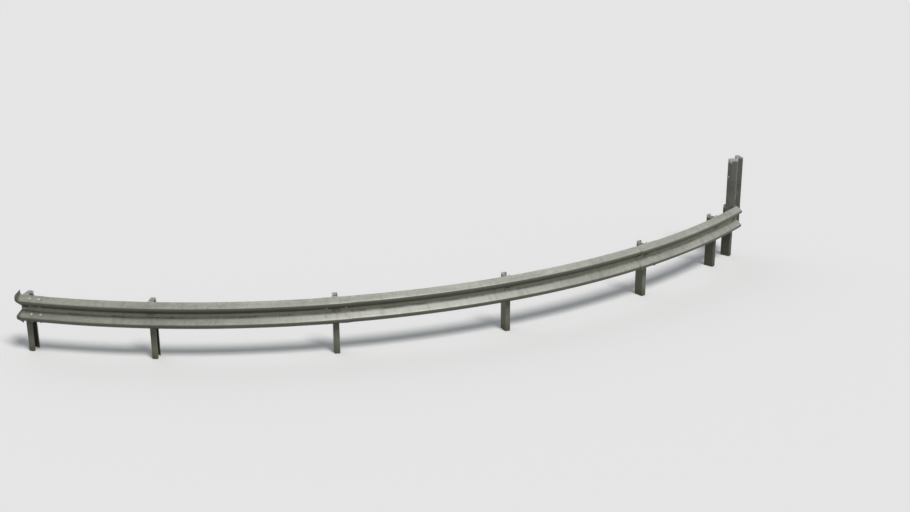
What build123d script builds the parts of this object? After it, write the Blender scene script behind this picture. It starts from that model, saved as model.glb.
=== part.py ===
from build123d import *
import math
import os

os.makedirs("parts", exist_ok=True)

# Corrugated rail section, millimetres
rail_wall = 3.0
rail_height = 310.0
rail_depth = 83.0
edge_run = 45.0
crest_flat = 30.0
valley_flat = 40.0
rail_bend = 20.0
rail_top = 677.0
rail_middle = rail_top - rail_height / 2
crest_outer = rail_height / 2 - edge_run
crest_inner = crest_outer - crest_flat
valley_half = valley_flat / 2
wall_rise = rail_depth - rail_wall
steep_run = min(edge_run, crest_inner - valley_half)

# Plan of the barrier: one arc with its centre behind the rail
rail_radius = 7900.0
first_bay = 1440.0
middle_bay = 2000.0
sixth_bay = 1430.0
last_bay = 480.0
lap_length = 320.0
left_overhang = 38.0
right_overhang = 45.0
nest_gap = 0.18
nest_step = (rail_wall + nest_gap) * math.hypot(wall_rise, steep_run) / steep_run
stations = [
    -2 * middle_bay - first_bay,
    -2 * middle_bay,
    -middle_bay,
    0.0,
    middle_bay,
    middle_bay + sixth_bay,
    middle_bay + sixth_bay + last_bay,
]
left_end = stations[0] - left_overhang
right_end = stations[6] + right_overhang

# Posts: lipped channels with the open side towards the right end
post_wall = 5.0
post_width = 62.5
post_depth = 125.0
post_lip = 25.0
post_bend = 7.5
post_top = 680.0

# Saddle brackets between the rail and the posts
bracket_wall = 5.0
bracket_gap = 0.5
bracket_leg = 40.0
bracket_height = 200.0
seat_gap = 0.2

# Washer plates in the rail's valley
washer_length = 100.0
washer_height = 30.0
washer_wall = 5.0
washer_gap = 1.2

# Slots for the post bolts and for the bolts of the laps
slot_long = 40.0
slot_short = 18.0
splice_long = 29.0
splice_short = 19.0
splice_pitch = 216.0
end_column = 135.0
end_pitch = 110.0

# Left end piece, turned back round a short bend and spread like a fishtail
turn_offset = 40.0
turn_radius = 30.0
turn_angle = 80.0
turn_steps = 5
tail_spread = 1.28
tail_flatten = 0.72
end_lap = 230.0
turn_start = stations[0] - turn_offset

# Upright offcut of rail at the right end, and its packing
upright_gap = 0.8
upright_low = rail_top - rail_height
upright_high = 1330.0
upright_slot = 740.0
upright_slot_long = 75.0
upright_chamfer = 45.0
packing_gap = 1.2
packing_width = 32.0
packing_depth = 21.0
packing_height = 150.0

seat_radius = rail_radius - seat_gap - bracket_wall - post_wall / 2
arc_axis = Axis((0, seat_radius, 0), (0, 0, 1))
upright_face = rail_radius + nest_step - upright_gap
packing_front = upright_face - rail_wall - packing_gap


def arc_angle(station):
    return station / rail_radius


def outward(station):
    return Vector(math.sin(arc_angle(station)), -math.cos(arc_angle(station)), 0)


def along(station):
    return Vector(math.cos(arc_angle(station)), math.sin(arc_angle(station)), 0)


def on_arc(station, radius, height):
    return Vector(0, seat_radius, height) + outward(station) * radius


def floor_plane(station, radius, height):
    # Level plane with its x along the rail and its y towards the back
    return Plane(origin=on_arc(station, radius, height), x_dir=along(station), z_dir=(0, 0, 1))


def bolt_plane(station, radius, height):
    # Upright plane that looks out of the rail's face, its x along the rail
    return Plane(origin=on_arc(station, radius, height), x_dir=along(station), z_dir=outward(station))


def section_plane(origin, station):
    # Upright plane across the rail, its x out of the rail's face and its y upwards
    return Plane(origin=origin, x_dir=outward(station), z_dir=along(station) * -1)


def rail_rear(station):
    # The middle panel and the end piece lie one sheet behind the other two panels
    if station == stations[0] or stations[2] <= station <= stations[4]:
        return rail_radius
    return rail_radius + nest_step


def rail_front(station):
    # The middle panel shows its own face only between the laps
    if stations[2] < station < stations[4]:
        return rail_radius + rail_wall
    return rail_radius + nest_step + rail_wall


def post_radius(station):
    # Distance from the arc's centre to the middle of a post's front flange
    if station == stations[6]:
        return packing_front - packing_depth - post_wall / 2
    return rail_rear(station) - seat_gap - bracket_wall - post_wall / 2


def section_points(start, spread=1.0, flatten=1.0):
    # Middle line of the sheet from the lower edge to the upper edge
    shallow = start + rail_wall / 2
    deep = shallow + wall_rise * flatten
    lower = [
        (shallow, -rail_height / 2 * spread),
        (deep, -crest_outer * spread),
        (deep, -crest_inner * spread),
        (shallow, -valley_half * spread),
    ]
    upper = [(depth, -height) for depth, height in reversed(lower)]
    return lower + upper


def splice_planes(station, radius):
    # One plane on each sloping wall of the section, square to the wall
    planes = []
    walls = [
        (rail_height / 2, crest_outer, 1),
        (valley_half, crest_inner, -1),
    ]
    for foot, crest, turn in walls:
        run = abs(crest - foot)
        for side in (-1, 1):
            height = rail_middle + side * (foot + crest) / 2
            normal = outward(station) * run + Vector(0, 0, side * turn * wall_rise)
            origin = on_arc(station, radius + rail_depth / 2, height)
            planes.append(Plane(origin=origin, x_dir=along(station), z_dir=normal))
    return planes


def columns_at(station, pitch):
    return [station - pitch / 2, station + pitch / 2]


def make_rail(first, last, rear, columns, bolts):
    turn = math.degrees(arc_angle(last) - arc_angle(first))
    with BuildPart() as rail:
        with BuildSketch(section_plane((0, seat_radius, rail_middle), first)):
            with BuildLine():
                FilletPolyline(*section_points(rear), radius=rail_bend)
            trace(line_width=rail_wall)
        revolve(axis=arc_axis, revolution_arc=turn)
        for station in bolts:
            with BuildSketch(bolt_plane(station, rear, rail_middle)):
                SlotOverall(slot_long, slot_short)
            extrude(amount=2 * rail_wall, both=True, mode=Mode.SUBTRACT)
        for station in columns:
            for plane in splice_planes(station, rail_radius + nest_step / 2):
                with BuildSketch(plane):
                    SlotOverall(splice_long, splice_short)
                extrude(amount=2 * rail_wall + nest_step, both=True, mode=Mode.SUBTRACT)
    return rail.part


def make_post(station):
    radius = post_radius(station)
    with BuildPart() as post:
        with BuildSketch(floor_plane(station, radius, 0)):
            with Locations((0, post_depth / 2 - post_wall / 2)):
                RectangleRounded(post_width, post_depth, post_bend)
                RectangleRounded(
                    post_width - 2 * post_wall,
                    post_depth - 2 * post_wall,
                    post_bend - post_wall,
                    mode=Mode.SUBTRACT,
                )
            with Locations((post_width / 2, post_depth / 2 - post_wall / 2)):
                Rectangle(4 * post_wall, post_depth - 2 * post_lip, mode=Mode.SUBTRACT)
        extrude(amount=post_top)
        with BuildSketch(bolt_plane(station, radius, rail_middle)):
            SlotOverall(slot_long, slot_short)
        extrude(amount=post_wall, both=True, mode=Mode.SUBTRACT)
    return post.part


def make_bracket(station):
    front = rail_rear(station) - seat_gap
    inside = post_width + 2 * bracket_gap
    outside = inside + 2 * bracket_wall
    with BuildPart() as bracket:
        with BuildSketch(floor_plane(station, front, rail_middle - bracket_height / 2)):
            with Locations((0, bracket_leg / 2)):
                Rectangle(outside, bracket_leg)
            with Locations((0, bracket_leg / 2 + bracket_wall)):
                Rectangle(inside, bracket_leg, mode=Mode.SUBTRACT)
        extrude(amount=bracket_height)
        with BuildSketch(bolt_plane(station, front, rail_middle)):
            SlotOverall(slot_long, slot_short)
        extrude(amount=2 * bracket_wall, both=True, mode=Mode.SUBTRACT)
    return bracket.part


def make_washer(station):
    face = rail_front(station) + washer_gap
    with BuildPart() as washer:
        with BuildSketch(bolt_plane(station, face, rail_middle)):
            RectangleRounded(washer_length, washer_height, washer_wall)
            SlotOverall(slot_long, slot_short, mode=Mode.SUBTRACT)
        extrude(amount=washer_wall)
    return washer.part


def save(part, name):
    part.label = name
    export_step(part, "parts/" + name + ".step")


# Rail panels
first_columns = columns_at(stations[0] + end_column, end_pitch)
second_columns = columns_at(stations[2], splice_pitch)
third_columns = columns_at(stations[4], splice_pitch)
rail_left = make_rail(
    left_end,
    stations[2] + lap_length / 2,
    rail_radius + nest_step,
    first_columns + second_columns,
    stations[0:3],
)
save(rail_left, "rail_left")
rail_centre = make_rail(
    stations[2] - lap_length / 2,
    stations[4] + lap_length / 2,
    rail_radius,
    second_columns + third_columns,
    stations[2:5],
)
save(rail_centre, "rail_centre")
rail_right = make_rail(
    stations[4] - lap_length / 2,
    right_end,
    rail_radius + nest_step,
    third_columns,
    stations[4:7],
)
save(rail_right, "rail_right")

# End piece at the left, with the fishtail turned back
with BuildPart() as tail:
    for step in range(turn_steps + 1):
        share = step / turn_steps
        turned = arc_angle(turn_start) - math.radians(turn_angle) * share
        facing = Vector(math.sin(turned), -math.cos(turned), 0)
        heading = Vector(-math.cos(turned), -math.sin(turned), 0)
        pivot = on_arc(turn_start, rail_radius - turn_radius, rail_middle)
        spread = 1 + (tail_spread - 1) * share
        flatten = 1 - (1 - tail_flatten) * share
        with BuildSketch(Plane(origin=pivot, x_dir=facing, z_dir=heading)):
            with BuildLine():
                FilletPolyline(*section_points(turn_radius, spread, flatten), radius=rail_bend)
            trace(line_width=rail_wall)
    loft()
with BuildPart() as end_piece:
    add(make_rail(turn_start, stations[0] + end_lap, rail_radius, first_columns, stations[0:1]))
    add(tail.part)
save(end_piece.part, "end_piece")

# Posts, brackets and washer plates
for index, station in enumerate(stations):
    save(make_post(station), "post_" + str(index + 1))
    save(make_washer(station), "washer_" + str(index + 1))
for index, station in enumerate(stations[0:6]):
    save(make_bracket(station), "bracket_" + str(index + 1))

# Upright offcut, its crests towards the back
with BuildPart() as upright:
    with BuildSketch(floor_plane(stations[6], upright_face, upright_low)):
        with BuildLine():
            FilletPolyline(*[(across, depth) for depth, across in section_points(0)], radius=rail_bend)
        trace(line_width=rail_wall)
    extrude(amount=upright_high - upright_low)
    for height, length in ((rail_middle, slot_long), (upright_slot, upright_slot_long)):
        with BuildSketch(bolt_plane(stations[6], upright_face, height)):
            SlotOverall(length, slot_short, rotation=90)
        extrude(amount=2 * rail_wall, both=True, mode=Mode.SUBTRACT)
    with BuildSketch(bolt_plane(stations[6], upright_face, upright_high)):
        for side in (-1, 1):
            with Locations((side * rail_height / 2, 0)):
                Rectangle(upright_chamfer, upright_chamfer, rotation=45)
    extrude(amount=rail_depth, both=True, mode=Mode.SUBTRACT)
save(upright.part, "upright")

# Packing block between the upright offcut and the last post
with BuildPart() as packing:
    with BuildSketch(bolt_plane(stations[6], packing_front, rail_middle)):
        Rectangle(packing_width, packing_height)
        SlotOverall(slot_long, slot_short, rotation=90, mode=Mode.SUBTRACT)
    extrude(amount=-packing_depth)
save(packing.part, "packing")
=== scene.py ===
import math
import random

import bpy
from mathutils import Matrix, Vector


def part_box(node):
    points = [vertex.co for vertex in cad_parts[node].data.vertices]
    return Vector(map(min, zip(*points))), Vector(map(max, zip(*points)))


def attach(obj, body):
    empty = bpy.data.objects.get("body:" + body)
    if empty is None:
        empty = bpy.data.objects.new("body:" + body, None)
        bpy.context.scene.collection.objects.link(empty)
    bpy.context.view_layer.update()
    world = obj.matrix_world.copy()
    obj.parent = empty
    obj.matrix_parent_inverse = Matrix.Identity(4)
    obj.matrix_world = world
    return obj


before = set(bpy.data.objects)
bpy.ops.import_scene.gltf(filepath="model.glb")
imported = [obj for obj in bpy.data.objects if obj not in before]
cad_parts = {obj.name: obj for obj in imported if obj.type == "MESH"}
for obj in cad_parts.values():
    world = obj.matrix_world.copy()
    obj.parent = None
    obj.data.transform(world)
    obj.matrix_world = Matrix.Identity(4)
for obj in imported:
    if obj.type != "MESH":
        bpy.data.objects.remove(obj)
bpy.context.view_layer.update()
random.seed(7)

# Rail section and posts, metres
SHEET = 0.003
EDGE_RUN = 0.045
CREST_FLAT = 0.030
VALLEY_HALF = 0.020
POST_WALL = 0.005

# Bolts, metres: heads have a radius and a rise
BOLT_RADIUS = 0.008
POST_HEAD = (0.0145, 0.0095)
LAP_HEAD = (0.0165, 0.009)
SPARE_HEAD = (0.0165, 0.010)
SPARE_HEIGHT = 1.10
HEAD_OVERLAP = 0.001
WASHER_WALL = 0.003
SEATING = 0.0002
LAP_PLAY = 0.0003
FIRST_LAP = (0.080, 0.190)
LAP = (-0.108, 0.108)

# Colours of the zinc and of what lies on it, and of painted light and shade
LIGHT_ZINC = (0.385, 0.390, 0.348)
DARK_ZINC = (0.295, 0.300, 0.263)
FILM_AND_SHADE_LIGHT = (0.195, 0.202, 0.157)
FILM_AND_SHADE_DARK = (0.140, 0.146, 0.109)
POST_SHADED_LIGHT = (0.184, 0.190, 0.144)
POST_SHADED_DARK = (0.132, 0.137, 0.100)
UPRIGHT_LIGHT = (0.148, 0.153, 0.129)
UPRIGHT_DARK = (0.106, 0.110, 0.090)
PLATE_LIGHT = (0.36, 0.365, 0.32)
PLATE_DARK = (0.26, 0.265, 0.23)
BOLT_LIGHT = (0.50, 0.50, 0.47)
BOLT_DARK = (0.36, 0.36, 0.33)
VALLEY_BOUNCE_ZINC = (0.375, 0.385, 0.295)
BLOOM_AND_HIGHLIGHT = (0.50, 0.505, 0.47)
PAINTED_TOP_HIGHLIGHT = (0.66, 0.665, 0.63)
GRIME_AND_SHADE = (0.105, 0.100, 0.078)
NEAR_BLACK = (0.042, 0.040, 0.032)
SOIL = (0.088, 0.072, 0.050)
RUST = (0.175, 0.072, 0.028)

# Floor and backdrop
FLOOR_SIZE = 160
PAPER_BOUNCE = (0.14, 0.14, 0.13)
PAPER_SEEN = (0.74, 0.74, 0.735)
SKY_LIGHT = (0.90, 0.95, 1.0)
SKY_SEEN = (0.78, 0.785, 0.78)


# The rail's arc in plan, from the washer plates in its valley
def node_points(name):
    return [vertex.co.copy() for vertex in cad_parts[name].data.vertices]


def circle_through(first, second, third):
    ax, ay, bx, by, cx, cy = first.x, first.y, second.x, second.y, third.x, third.y
    twice = 2 * (ax * (by - cy) + bx * (cy - ay) + cx * (ay - by))
    first_square = ax * ax + ay * ay
    second_square = bx * bx + by * by
    third_square = cx * cx + cy * cy
    x = first_square * (by - cy) + second_square * (cy - ay) + third_square * (ay - by)
    y = first_square * (cx - bx) + second_square * (ax - cx) + third_square * (bx - ax)
    return Vector((x / twice, y / twice, 0))


def middle_of(name):
    points = node_points(name)
    return sum(points, Vector()) / len(points)


washers = sorted(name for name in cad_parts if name.startswith("washer_"))
middles = [middle_of(name) for name in washers]
centre = circle_through(middles[0], middles[2], middles[4])


def radius_of(point):
    return math.hypot(point.x - centre.x, point.y - centre.y)


def angle_of(point):
    return math.atan2(point.x - centre.x, centre.y - point.y)


def outward(angle):
    return Vector((math.sin(angle), -math.cos(angle), 0))


def along(angle):
    return Vector((math.cos(angle), math.sin(angle), 0))


def on_arc(angle, radius, height):
    return centre + outward(angle) * radius + Vector((0, 0, height))


def panel_ends(name):
    turns = [angle_of(point) for point in node_points(name)]
    return min(turns), max(turns)


# Height and depth of the rail: the left and right panels lie in front of the middle one
rail_low, rail_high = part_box("rail_left")
rail_middle = (rail_low.z + rail_high.z) / 2
rail_height = rail_high.z - rail_low.z
front_radii = [radius_of(point) for point in node_points("rail_left")]
front_rear = min(front_radii)
rail_depth = max(front_radii) - front_rear
back_rear = min(radius_of(point) for point in node_points("rail_centre"))

# Places along the arc: posts, columns of lap bolts and cut ends that show in front
angles = [angle_of(middle) for middle in middles]
lap_columns = [(angles[0], FIRST_LAP), (angles[2], LAP), (angles[4], LAP)]
post_runs = [angle * front_rear for angle in angles]
lap_runs = [angle * front_rear + offset for angle, offsets in lap_columns for offset in offsets]
cut_ends = panel_ends("rail_left") + panel_ends("rail_right")
end_runs = [angle * front_rear for angle in cut_ends]


# A node tree with short names for the nodes that the materials are made of
class Graph:
    def __init__(self, tree):
        tree.nodes.clear()
        self.nodes = tree.nodes
        self.links = tree.links

    def add(self, kind):
        return self.nodes.new("ShaderNode" + kind)

    def feed(self, value, socket):
        if isinstance(value, tuple):
            socket.default_value = (*value, 1)
        elif isinstance(value, (int, float)):
            socket.default_value = value
        else:
            self.links.new(value, socket)

    def maths(self, operation, first, second=0.0):
        node = self.add("Math")
        node.operation = operation
        self.feed(first, node.inputs[0])
        self.feed(second, node.inputs[1])
        return node.outputs[0]

    def plus(self, first, second):
        return self.maths("ADD", first, second)

    def minus(self, first, second):
        return self.maths("SUBTRACT", first, second)

    def times(self, first, second):
        return self.maths("MULTIPLY", first, second)

    def larger(self, first, second):
        return self.maths("MAXIMUM", first, second)

    def distance(self, first, second):
        return self.maths("ABSOLUTE", self.minus(first, second))

    def mix(self, amount, first, second, mode="MIX"):
        node = self.add("Mix")
        node.data_type = "RGBA"
        node.blend_type = mode
        self.feed(amount, node.inputs["Factor"])
        self.feed(first, node.inputs[6])
        self.feed(second, node.inputs[7])
        return node.outputs[2]

    def fade(self, value, start, end, low=0.0, high=1.0):
        # Goes smoothly from low at start to high at end
        ramp = self.add("MapRange")
        ramp.interpolation_type = "SMOOTHSTEP"
        self.feed(value, ramp.inputs["Value"])
        self.feed(start, ramp.inputs["From Min"])
        self.feed(end, ramp.inputs["From Max"])
        self.feed(low, ramp.inputs["To Min"])
        self.feed(high, ramp.inputs["To Max"])
        return ramp.outputs[0]

    def noise(self, vector, scale, detail, rough):
        texture = self.add("TexNoise")
        texture.inputs["Scale"].default_value = scale
        texture.inputs["Detail"].default_value = detail
        texture.inputs["Roughness"].default_value = rough
        self.links.new(vector, texture.inputs["Vector"])
        return texture.outputs["Fac"]

    def stretched(self, vector, scales):
        mapping = self.add("Mapping")
        mapping.inputs["Scale"].default_value = scales
        self.links.new(vector, mapping.inputs["Vector"])
        return mapping.outputs["Vector"]


def new_material(name):
    material = bpy.data.materials.new(name)
    material.use_nodes = True
    graph = Graph(material.node_tree)
    output = graph.add("OutputMaterial")
    shader = graph.add("BsdfPrincipled")
    graph.links.new(shader.outputs["BSDF"], output.inputs["Surface"])
    return material, graph, shader


def arc_place(graph):
    # Metres along the arc, metres out from the back of the rail, and height
    split = graph.add("SeparateXYZ")
    graph.links.new(graph.add("TexCoord").outputs["Object"], split.inputs[0])
    across = graph.minus(split.outputs["X"], centre.x)
    away = graph.minus(centre.y, split.outputs["Y"])
    run = graph.times(graph.maths("ARCTAN2", across, away), front_rear)
    square = graph.plus(graph.times(across, across), graph.times(away, away))
    out = graph.minus(graph.maths("SQRT", square), back_rear)
    height = split.outputs["Z"]
    joined = graph.add("CombineXYZ")
    for index, value in enumerate((run, out, height)):
        graph.links.new(value, joined.inputs[index])
    return joined.outputs[0], run, out, height


def facing_up(graph, start, end):
    # Fades by how much the surface looks at the sky: -1 is straight down, 1 straight up
    split = graph.add("SeparateXYZ")
    graph.links.new(graph.add("NewGeometry").outputs["Normal"], split.inputs[0])
    return graph.fade(split.outputs["Z"], start, end)


def near_places(graph, run, places, reach):
    # 1 at any of the places along the arc, 0 from the reach on
    result = None
    for place in places:
        mask = graph.fade(graph.distance(run, place), reach, reach * 0.15)
        result = mask if result is None else graph.larger(result, mask)
    return result


# Cloudy patches, crystals of the zinc, faint lines left by rolling and a pale bloom
def zinc_base(graph, place, light, dark, bloom_share=0.5):
    broad = graph.noise(graph.stretched(place, (0.7, 3.0, 2.0)), 1.6, 5.0, 0.62)
    tone = graph.mix(graph.fade(broad, 0.34, 0.66), dark, light)
    spangle = graph.add("TexVoronoi")
    spangle.inputs["Scale"].default_value = 62
    graph.links.new(place, spangle.inputs["Vector"])
    crystal = graph.add("SeparateColor")
    graph.links.new(spangle.outputs["Color"], crystal.inputs[0])
    facet = graph.fade(crystal.outputs[0], 0.0, 1.0, 0.90, 1.07)
    lines = graph.noise(graph.stretched(place, (0.8, 120.0, 120.0)), 1.0, 2.0, 0.5)
    drawn = graph.fade(lines, 0.3, 0.7, 0.955, 1.04)
    both = graph.times(facet, drawn)
    shade = graph.add("CombineColor")
    for channel in range(3):
        graph.links.new(both, shade.inputs[channel])
    tone = graph.mix(1.0, tone, shade.outputs[0], "MULTIPLY")
    bloom = graph.noise(place, 11.0, 6.0, 0.7)
    return graph.mix(graph.fade(bloom, 0.56, 0.74, 0.0, bloom_share), tone, BLOOM_AND_HIGHLIGHT)


def finish_zinc(graph, shader, place, tone, rough_mask, rough, bump_depth):
    graph.links.new(tone, shader.inputs["Base Color"])
    cloudy = graph.noise(place, 8.0, 5.0, 0.65)
    mottle = graph.fade(cloudy, 0.3, 0.7, rough - 0.09, rough + 0.07)
    total = graph.plus(mottle, graph.times(rough_mask, 0.25))
    graph.links.new(graph.maths("MINIMUM", total, 0.95), shader.inputs["Roughness"])
    shader.inputs["Metallic"].default_value = 0.18
    fine = graph.noise(place, 210.0, 3.0, 0.6)
    coarse = graph.times(graph.noise(place, 26.0, 3.0, 0.5), 1.6)
    bump = graph.add("Bump")
    bump.inputs["Strength"].default_value = 0.35
    bump.inputs["Distance"].default_value = bump_depth
    graph.links.new(graph.plus(fine, coarse), bump.inputs["Height"])
    graph.links.new(bump.outputs["Normal"], shader.inputs["Normal"])


def rail_material():
    material, graph, shader = new_material("rail_zinc")
    place, run, out, height = arc_place(graph)
    patches = graph.noise(place, 5.0, 6.0, 0.68)

    # The lit copy of the zinc is clean in the middle of the barrier and dull with film towards
    # its ends
    lit_zinc = zinc_base(graph, place, LIGHT_ZINC, DARK_ZINC)
    darker_zinc = zinc_base(graph, place, FILM_AND_SHADE_LIGHT, FILM_AND_SHADE_DARK, 0.18)
    left_film = graph.fade(run, post_runs[2], post_runs[0], 0.0, 0.58)
    right_film = graph.fade(run, post_runs[4] + 0.4, post_runs[6], 0.0, 0.26)
    lit_zinc = graph.mix(graph.larger(left_film, right_film), lit_zinc, darker_zinc)
    # Painted highlight: a pale pool on the lower half of the sheet round the middle of the
    # barrier
    middle_highlight = near_places(graph, run, [(post_runs[2] + post_runs[3]) / 2], 2.4)
    low_half = graph.fade(height, rail_middle + 0.010, rail_middle - 0.030, 0.0, 0.55)
    lit_zinc = graph.mix(graph.times(middle_highlight, low_half), lit_zinc, BLOOM_AND_HIGHLIGHT)

    # Painted light: faces that look up take the lit copy, and the rest take the darker copy,
    # which is film and painted shade
    painted_top_light = facing_up(graph, 0.12, 0.66)
    tone = graph.mix(painted_top_light, darker_zinc, lit_zinc)
    # Painted shade, near black, on faces that hang over
    painted_under_shade = graph.times(facing_up(graph, 0.0, -0.45), 0.62)
    tone = graph.mix(painted_under_shade, tone, NEAR_BLACK)

    # Painted shade on the crests' faces that do not look up
    crest_start = 0.066
    proud = graph.fade(out, crest_start, crest_start + 0.012, 0.0, 0.80)
    tone = graph.mix(graph.times(proud, graph.minus(1.0, painted_top_light)), tone, GRIME_AND_SHADE)
    # Painted bounce light makes the valley's floor paler
    level = graph.fade(graph.distance(height, rail_middle), 0.034, 0.014)
    valley_bounce = graph.times(level, graph.fade(out, 0.036, 0.014))
    tone = graph.mix(graph.times(valley_bounce, 0.85), tone, VALLEY_BOUNCE_ZINC)

    # Dirt settles along the foot of the valley
    valley = graph.fade(graph.distance(height, rail_middle - 0.022), 0.014, 0.002)
    dirt = graph.times(valley, graph.fade(patches, 0.42, 0.62, 0.0, 0.6))
    tone = graph.mix(dirt, tone, GRIME_AND_SHADE)

    # Rain runs down from the rims in soft streaks
    rills = graph.noise(graph.stretched(place, (15.0, 3.0, 1.5)), 1.0, 3.0, 0.5)
    tone = graph.mix(graph.fade(rills, 0.50, 0.80, 0.0, 0.34), tone, GRIME_AND_SHADE)

    # The turned-back end goes almost black
    tail = graph.fade(run, post_runs[0] - 0.028, post_runs[0] - 0.066, 0.0, 0.88)
    tone = graph.mix(tail, tone, NEAR_BLACK)

    # Splashed soil on the lower lip
    lower = graph.fade(height, rail_low.z + 0.060, rail_low.z)
    splash = graph.times(lower, graph.fade(patches, 0.42, 0.66, 0.0, 0.7))
    tone = graph.mix(splash, tone, SOIL)

    # Rust starts at the cut ends and at the lap bolts, and weeps from the post bolts
    fleck = graph.noise(place, 34.0, 6.0, 0.72)
    ends = near_places(graph, run, end_runs, 0.040)
    end_rust = graph.times(ends, graph.fade(fleck, 0.52, 0.66, 0.0, 0.8))
    below = graph.fade(height, rail_middle - 0.150, rail_middle - 0.020)
    capped = graph.times(below, graph.fade(height, rail_middle + 0.030, rail_middle))
    weep_line = near_places(graph, run, post_runs, 0.034)
    thin = graph.noise(graph.stretched(place, (60.0, 8.0, 5.0)), 1.0, 4.0, 0.6)
    threads = graph.fade(thin, 0.48, 0.68, 0.0, 0.42)
    weep = graph.times(graph.times(weep_line, capped), threads)
    lap_line = near_places(graph, run, lap_runs, 0.026)
    lap_rust = graph.times(lap_line, graph.fade(fleck, 0.54, 0.68, 0.0, 0.6))
    rust = graph.larger(graph.larger(end_rust, weep), lap_rust)
    tone = graph.mix(graph.times(rust, 0.80), tone, RUST)

    rough_mask = graph.larger(graph.larger(dirt, rust), splash)
    finish_zinc(graph, shader, place, tone, rough_mask, 0.50, 0.0009)
    return material


def post_material():
    material, graph, shader = new_material("post_zinc")
    place, run, _, height = arc_place(graph)
    # Painted shade: the posts take a darker copy of the zinc
    darker_zinc = zinc_base(graph, place, POST_SHADED_LIGHT, POST_SHADED_DARK, 0.12)

    # Painted highlight round the top and on faces that look up
    tip = graph.fade(height, rail_high.z - 0.050, rail_high.z - 0.020, 0.0, 0.9)
    post_top_highlight = graph.larger(facing_up(graph, 0.3, 0.8), tip)
    tone = graph.mix(post_top_highlight, darker_zinc, PAINTED_TOP_HIGHLIGHT)

    # The last two posts are darker: painted shade of the rail, and dirt
    shade_and_dirt = graph.fade(run, post_runs[4] + 0.3, post_runs[5] - 0.1, 0.0, 0.55)
    shade_and_dirt = graph.times(shade_and_dirt, graph.fade(post_top_highlight, 1.0, 0.0))
    tone = graph.mix(shade_and_dirt, tone, NEAR_BLACK)
    rills = graph.noise(graph.stretched(place, (42.0, 42.0, 1.6)), 1.0, 4.0, 0.6)
    tone = graph.mix(graph.fade(rills, 0.50, 0.76, 0.0, 0.45), tone, GRIME_AND_SHADE)

    # Splashed soil with an uneven edge, and rust, at the foot
    patches = graph.noise(place, 13.0, 6.0, 0.7)
    ragged = graph.plus(height, graph.times(patches, -0.20))
    foot = graph.fade(ragged, 0.03, -0.09, 0.0, 0.70)
    tone = graph.mix(foot, tone, SOIL)
    fleck = graph.noise(place, 40.0, 6.0, 0.72)
    band = graph.fade(height, 0.13, 0.02, 0.0, 0.55)
    rust = graph.times(band, graph.fade(fleck, 0.55, 0.68))
    tone = graph.mix(rust, tone, RUST)
    finish_zinc(graph, shader, place, tone, graph.larger(foot, rust), 0.56, 0.0011)
    return material


def upright_material():
    material, graph, shader = new_material("upright_zinc")
    place, _, _, height = arc_place(graph)
    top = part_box("upright")[1].z
    darker_zinc = zinc_base(graph, place, UPRIGHT_LIGHT, UPRIGHT_DARK, 0.18)
    # Painted highlight along the top
    tip = graph.fade(height, top - 0.055, top - 0.025)
    tone = graph.mix(graph.times(tip, 0.85), darker_zinc, PAINTED_TOP_HIGHLIGHT)
    rills = graph.noise(graph.stretched(place, (30.0, 30.0, 0.9)), 1.0, 4.0, 0.6)
    tone = graph.mix(graph.fade(rills, 0.50, 0.76, 0.0, 0.45), tone, GRIME_AND_SHADE)
    fleck = graph.noise(place, 30.0, 6.0, 0.72)
    rust = graph.times(tip, graph.fade(fleck, 0.54, 0.66, 0.0, 0.6))
    tone = graph.mix(rust, tone, RUST)
    finish_zinc(graph, shader, place, tone, rust, 0.54, 0.0010)
    return material


def small_material(name, light, dark, rust_share, rough):
    # Brighter zinc with rust in patches
    material, graph, shader = new_material(name)
    place = arc_place(graph)[0]
    tone = zinc_base(graph, place, light, dark)
    patches = graph.noise(place, 48.0, 5.0, 0.7)
    rust = graph.fade(patches, 0.60 - rust_share * 0.25, 0.72 - rust_share * 0.2, 0.0, 0.85)
    tone = graph.mix(rust, tone, RUST)
    finish_zinc(graph, shader, place, tone, rust, rough, 0.0006)
    return material


rail_zinc = rail_material()
post_zinc = post_material()
upright_zinc = upright_material()
plate_zinc = small_material("plate_zinc", PLATE_LIGHT, PLATE_DARK, 0.20, 0.50)
bolt_zinc = small_material("bolt_zinc", BOLT_LIGHT, BOLT_DARK, 0.25, 0.40)

# Washer plates, brackets and the packing block share the plates' zinc
for name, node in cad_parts.items():
    if name.startswith("post_"):
        zinc = post_zinc
    elif name.startswith("upright"):
        zinc = upright_zinc
    elif name.startswith(("rail_", "end_piece")):
        zinc = rail_zinc
    else:
        zinc = plate_zinc
    node.data.materials.clear()
    node.data.materials.append(zinc)


# Bolts: each is a list of rings turned about its own axis, then set down on the steel
def turned(matrix, rings, sides, phase=0.0):
    # A ring is a distance along the axis and a radius; the first and last are closed
    verts = []
    faces = []
    for distance, radius in rings:
        for step in range(sides):
            angle = 2 * math.pi * step / sides + phase
            rim = Vector((radius * math.cos(angle), radius * math.sin(angle), distance))
            verts.append(matrix @ rim)
    for ring in range(len(rings) - 1):
        for step in range(sides):
            near = ring * sides + step
            beside = ring * sides + (step + 1) % sides
            faces.append((near, beside, beside + sides, near + sides))
    faces.append(tuple(reversed(range(sides))))
    last_ring = (len(rings) - 1) * sides
    faces.append(tuple(range(last_ring, last_ring + sides)))
    return verts, faces


def dome_rings(base, radius, rise):
    rim = 0.12
    steps = 6
    rings = [(base, radius * 0.96), (base + rise * rim, radius)]
    for step in range(1, steps):
        share = step / steps * math.pi / 2
        lift = rise * (rim + (1 - rim) * math.sin(share))
        rings.append((base + lift, radius * math.cos(share)))
    rings.append((base + rise, radius * 0.08))
    return rings


def hex_rings(base, radius, height):
    edge = height * 0.12
    return [
        (base, radius * 0.93),
        (base + edge, radius),
        (base + height - edge, radius),
        (base + height, radius * 0.93),
    ]


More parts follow.
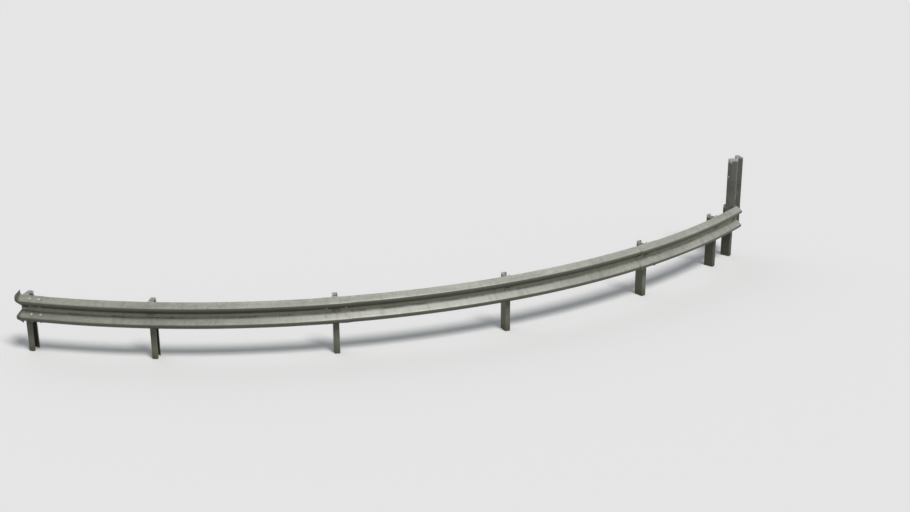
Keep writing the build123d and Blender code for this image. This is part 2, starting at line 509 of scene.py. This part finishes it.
def bolt_shapes(matrix, grip, head):
    # The axis runs from the nut behind to the head in front; 0 is the face under the head
    spin = random.uniform(0, math.pi)
    nut_height = BOLT_RADIUS * 1.6
    stub = BOLT_RADIUS * random.uniform(0.5, 1.1)
    washer_radius = BOLT_RADIUS * 1.9
    washer_back = -grip - WASHER_WALL
    nut_back = washer_back - nut_height
    stem = [
        (nut_back - stub, BOLT_RADIUS * 0.85),
        (nut_back - stub * 0.8, BOLT_RADIUS),
        (HEAD_OVERLAP, BOLT_RADIUS),
    ]
    washer = [(washer_back, washer_radius), (-grip, washer_radius)]
    return [
        turned(matrix, dome_rings(0.0, *head), 28, spin),
        turned(matrix, stem, 16),
        turned(matrix, washer, 28),
        turned(matrix, hex_rings(nut_back, BOLT_RADIUS * 1.75, nut_height), 6, spin),
    ]


def make_piece(name, shapes):
    verts = []
    faces = []
    for shape_verts, shape_faces in shapes:
        start = len(verts)
        verts.extend(shape_verts)
        faces.extend(tuple(index + start for index in face) for face in shape_faces)
    mesh = bpy.data.meshes.new(name)
    mesh.from_pydata([tuple(vert) for vert in verts], [], faces)
    mesh.validate()
    for polygon in mesh.polygons:
        polygon.use_smooth = True
    mesh.set_sharp_from_angle(angle=math.radians(35))
    mesh.materials.append(bolt_zinc)
    piece = bpy.data.objects.new(name, mesh)
    bpy.context.collection.objects.link(piece)
    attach(piece, "root")


def facing(place, normal, across):
    # Matrix with its z along the normal and its x along the rail
    z = normal.normalized()
    x = (across - z * across.dot(z)).normalized()
    y = z.cross(x)
    turn = Matrix((x, y, z)).transposed().to_4x4()
    return Matrix.Translation(place) @ turn


# Post bolts: domed heads on the washer plates, nuts inside the posts' front flanges
for index, angle in enumerate(angles):
    number = str(index + 1)
    face = max(radius_of(point) for point in node_points(washers[index]))
    post_front = max(radius_of(point) for point in node_points("post_" + number))
    grip = face - (post_front - POST_WALL)
    seat = on_arc(angle, face - SEATING, rail_middle)
    matrix = facing(seat, outward(angle), along(angle))
    make_piece("post_bolt_" + number, bolt_shapes(matrix, grip, POST_HEAD))

# Lap bolts: one on each sloping wall of the section, in two columns at each lap
wall_rise = rail_depth - SHEET
half = (rail_height - SHEET) / 2
outer_crest = half - EDGE_RUN
inner_crest = outer_crest - CREST_FLAT
sloping_walls = ((half, outer_crest, 1), (VALLEY_HALF, inner_crest, -1))


def lap_bolts(angle):
    shapes = []
    for foot, crest, turn in sloping_walls:
        wall_run = abs(crest - foot)
        for side in (-1, 1):
            height = rail_middle + side * (foot + crest) / 2
            normal = outward(angle) * wall_run + Vector((0, 0, side * turn * wall_rise))
            middle = on_arc(angle, front_rear + rail_depth / 2, height)
            face = middle + normal.normalized() * (SHEET / 2)
            matrix = facing(face, normal, along(angle))
            shapes += bolt_shapes(matrix, 2 * SHEET + LAP_PLAY, LAP_HEAD)
    return shapes


for number, (angle, offsets) in enumerate(lap_columns):
    shapes = []
    for offset in offsets:
        shapes += lap_bolts(angle + offset / front_rear)
    make_piece("lap_bolts_" + str(number + 1), shapes)

# A bolt left in the upright offcut's outer wall
last_angle = angles[6]
upright_points = node_points("upright")
upright_front = max((point - centre).dot(outward(last_angle)) for point in upright_points)
middle = on_arc(last_angle, upright_front - rail_depth / 2, SPARE_HEIGHT)
middle -= along(last_angle) * (half - EDGE_RUN / 2)
normal = outward(last_angle) * EDGE_RUN - along(last_angle) * wall_rise
face = middle + normal.normalized() * (SHEET / 2)
matrix = facing(face, normal, Vector((0, 0, 1)))
make_piece("upright_bolt", bolt_shapes(matrix, SHEET, SPARE_HEAD))


# Floor and backdrop: pale to the eye, but they throw little light, as open ground does
def seen_directly(graph):
    path = graph.add("LightPath")
    seen = graph.larger(path.outputs["Is Camera Ray"], path.outputs["Is Glossy Ray"])
    return graph.larger(seen, path.outputs["Is Transmission Ray"])


bpy.ops.mesh.primitive_plane_add(size=FLOOR_SIZE, location=(0, 0, 0))
floor = bpy.context.object
floor.name = "studio_floor"
paper, graph, shader = new_material("studio_paper")
paper_tone = graph.mix(seen_directly(graph), PAPER_BOUNCE, PAPER_SEEN)
graph.links.new(paper_tone, shader.inputs["Base Color"])
shader.inputs["Roughness"].default_value = 0.95
shader.inputs["Specular IOR Level"].default_value = 0.0
floor.data.materials.append(paper)

world = bpy.data.worlds.new("studio_world")
bpy.context.scene.world = world
world.use_nodes = True
graph = Graph(world.node_tree)
sky = graph.add("Background")
sky.inputs["Color"].default_value = (*SKY_LIGHT, 1)
sky.inputs["Strength"].default_value = 0.32
pale = graph.add("Background")
pale.inputs["Color"].default_value = (*SKY_SEEN, 1)
blend = graph.add("MixShader")
graph.links.new(seen_directly(graph), blend.inputs[0])
graph.links.new(sky.outputs[0], blend.inputs[1])
graph.links.new(pale.outputs[0], blend.inputs[2])
output = graph.add("OutputWorld")
graph.links.new(blend.outputs[0], output.inputs["Surface"])


def add_sun(name, energy, width, colour, coming_from):
    lamp_data = bpy.data.lights.new(name, "SUN")
    lamp_data.energy = energy
    lamp_data.angle = math.radians(width)
    lamp_data.color = colour
    lamp = bpy.data.objects.new(name, lamp_data)
    bpy.context.collection.objects.link(lamp)
    lamp.rotation_euler = Vector(coming_from).to_track_quat("Z", "Y").to_euler()


# High light from the traffic side, and a weak broad one that opens up the back
add_sun("key", 2.6, 18, (1.0, 0.985, 0.96), (0.12, -0.64, 1.0))
add_sun("fill", 0.55, 70, (0.95, 0.98, 1.0), (-0.30, 1.0, 0.50))

# Camera: high on the traffic side, to the left of the middle post
yaw = math.radians(24.82)
pitch = math.radians(20.12)
roll = math.radians(-0.40)
position = (-6.745, -13.162, 6.33)
lens_pixels = 1403.5
frame_width = 910
camera_data = bpy.data.cameras.new("camera")
camera_data.sensor_width = 36
camera_data.lens = camera_data.sensor_width * lens_pixels / frame_width
camera = bpy.data.objects.new("camera", camera_data)
bpy.context.collection.objects.link(camera)
stand = Matrix.Translation(position)
aim = Matrix.Rotation(-yaw, 4, "Z") @ Matrix.Rotation(math.pi / 2 - pitch, 4, "X")
camera.matrix_world = stand @ aim @ Matrix.Rotation(roll, 4, "Z")
bpy.context.scene.camera = camera
bpy.context.scene.view_settings.view_transform = "Standard"
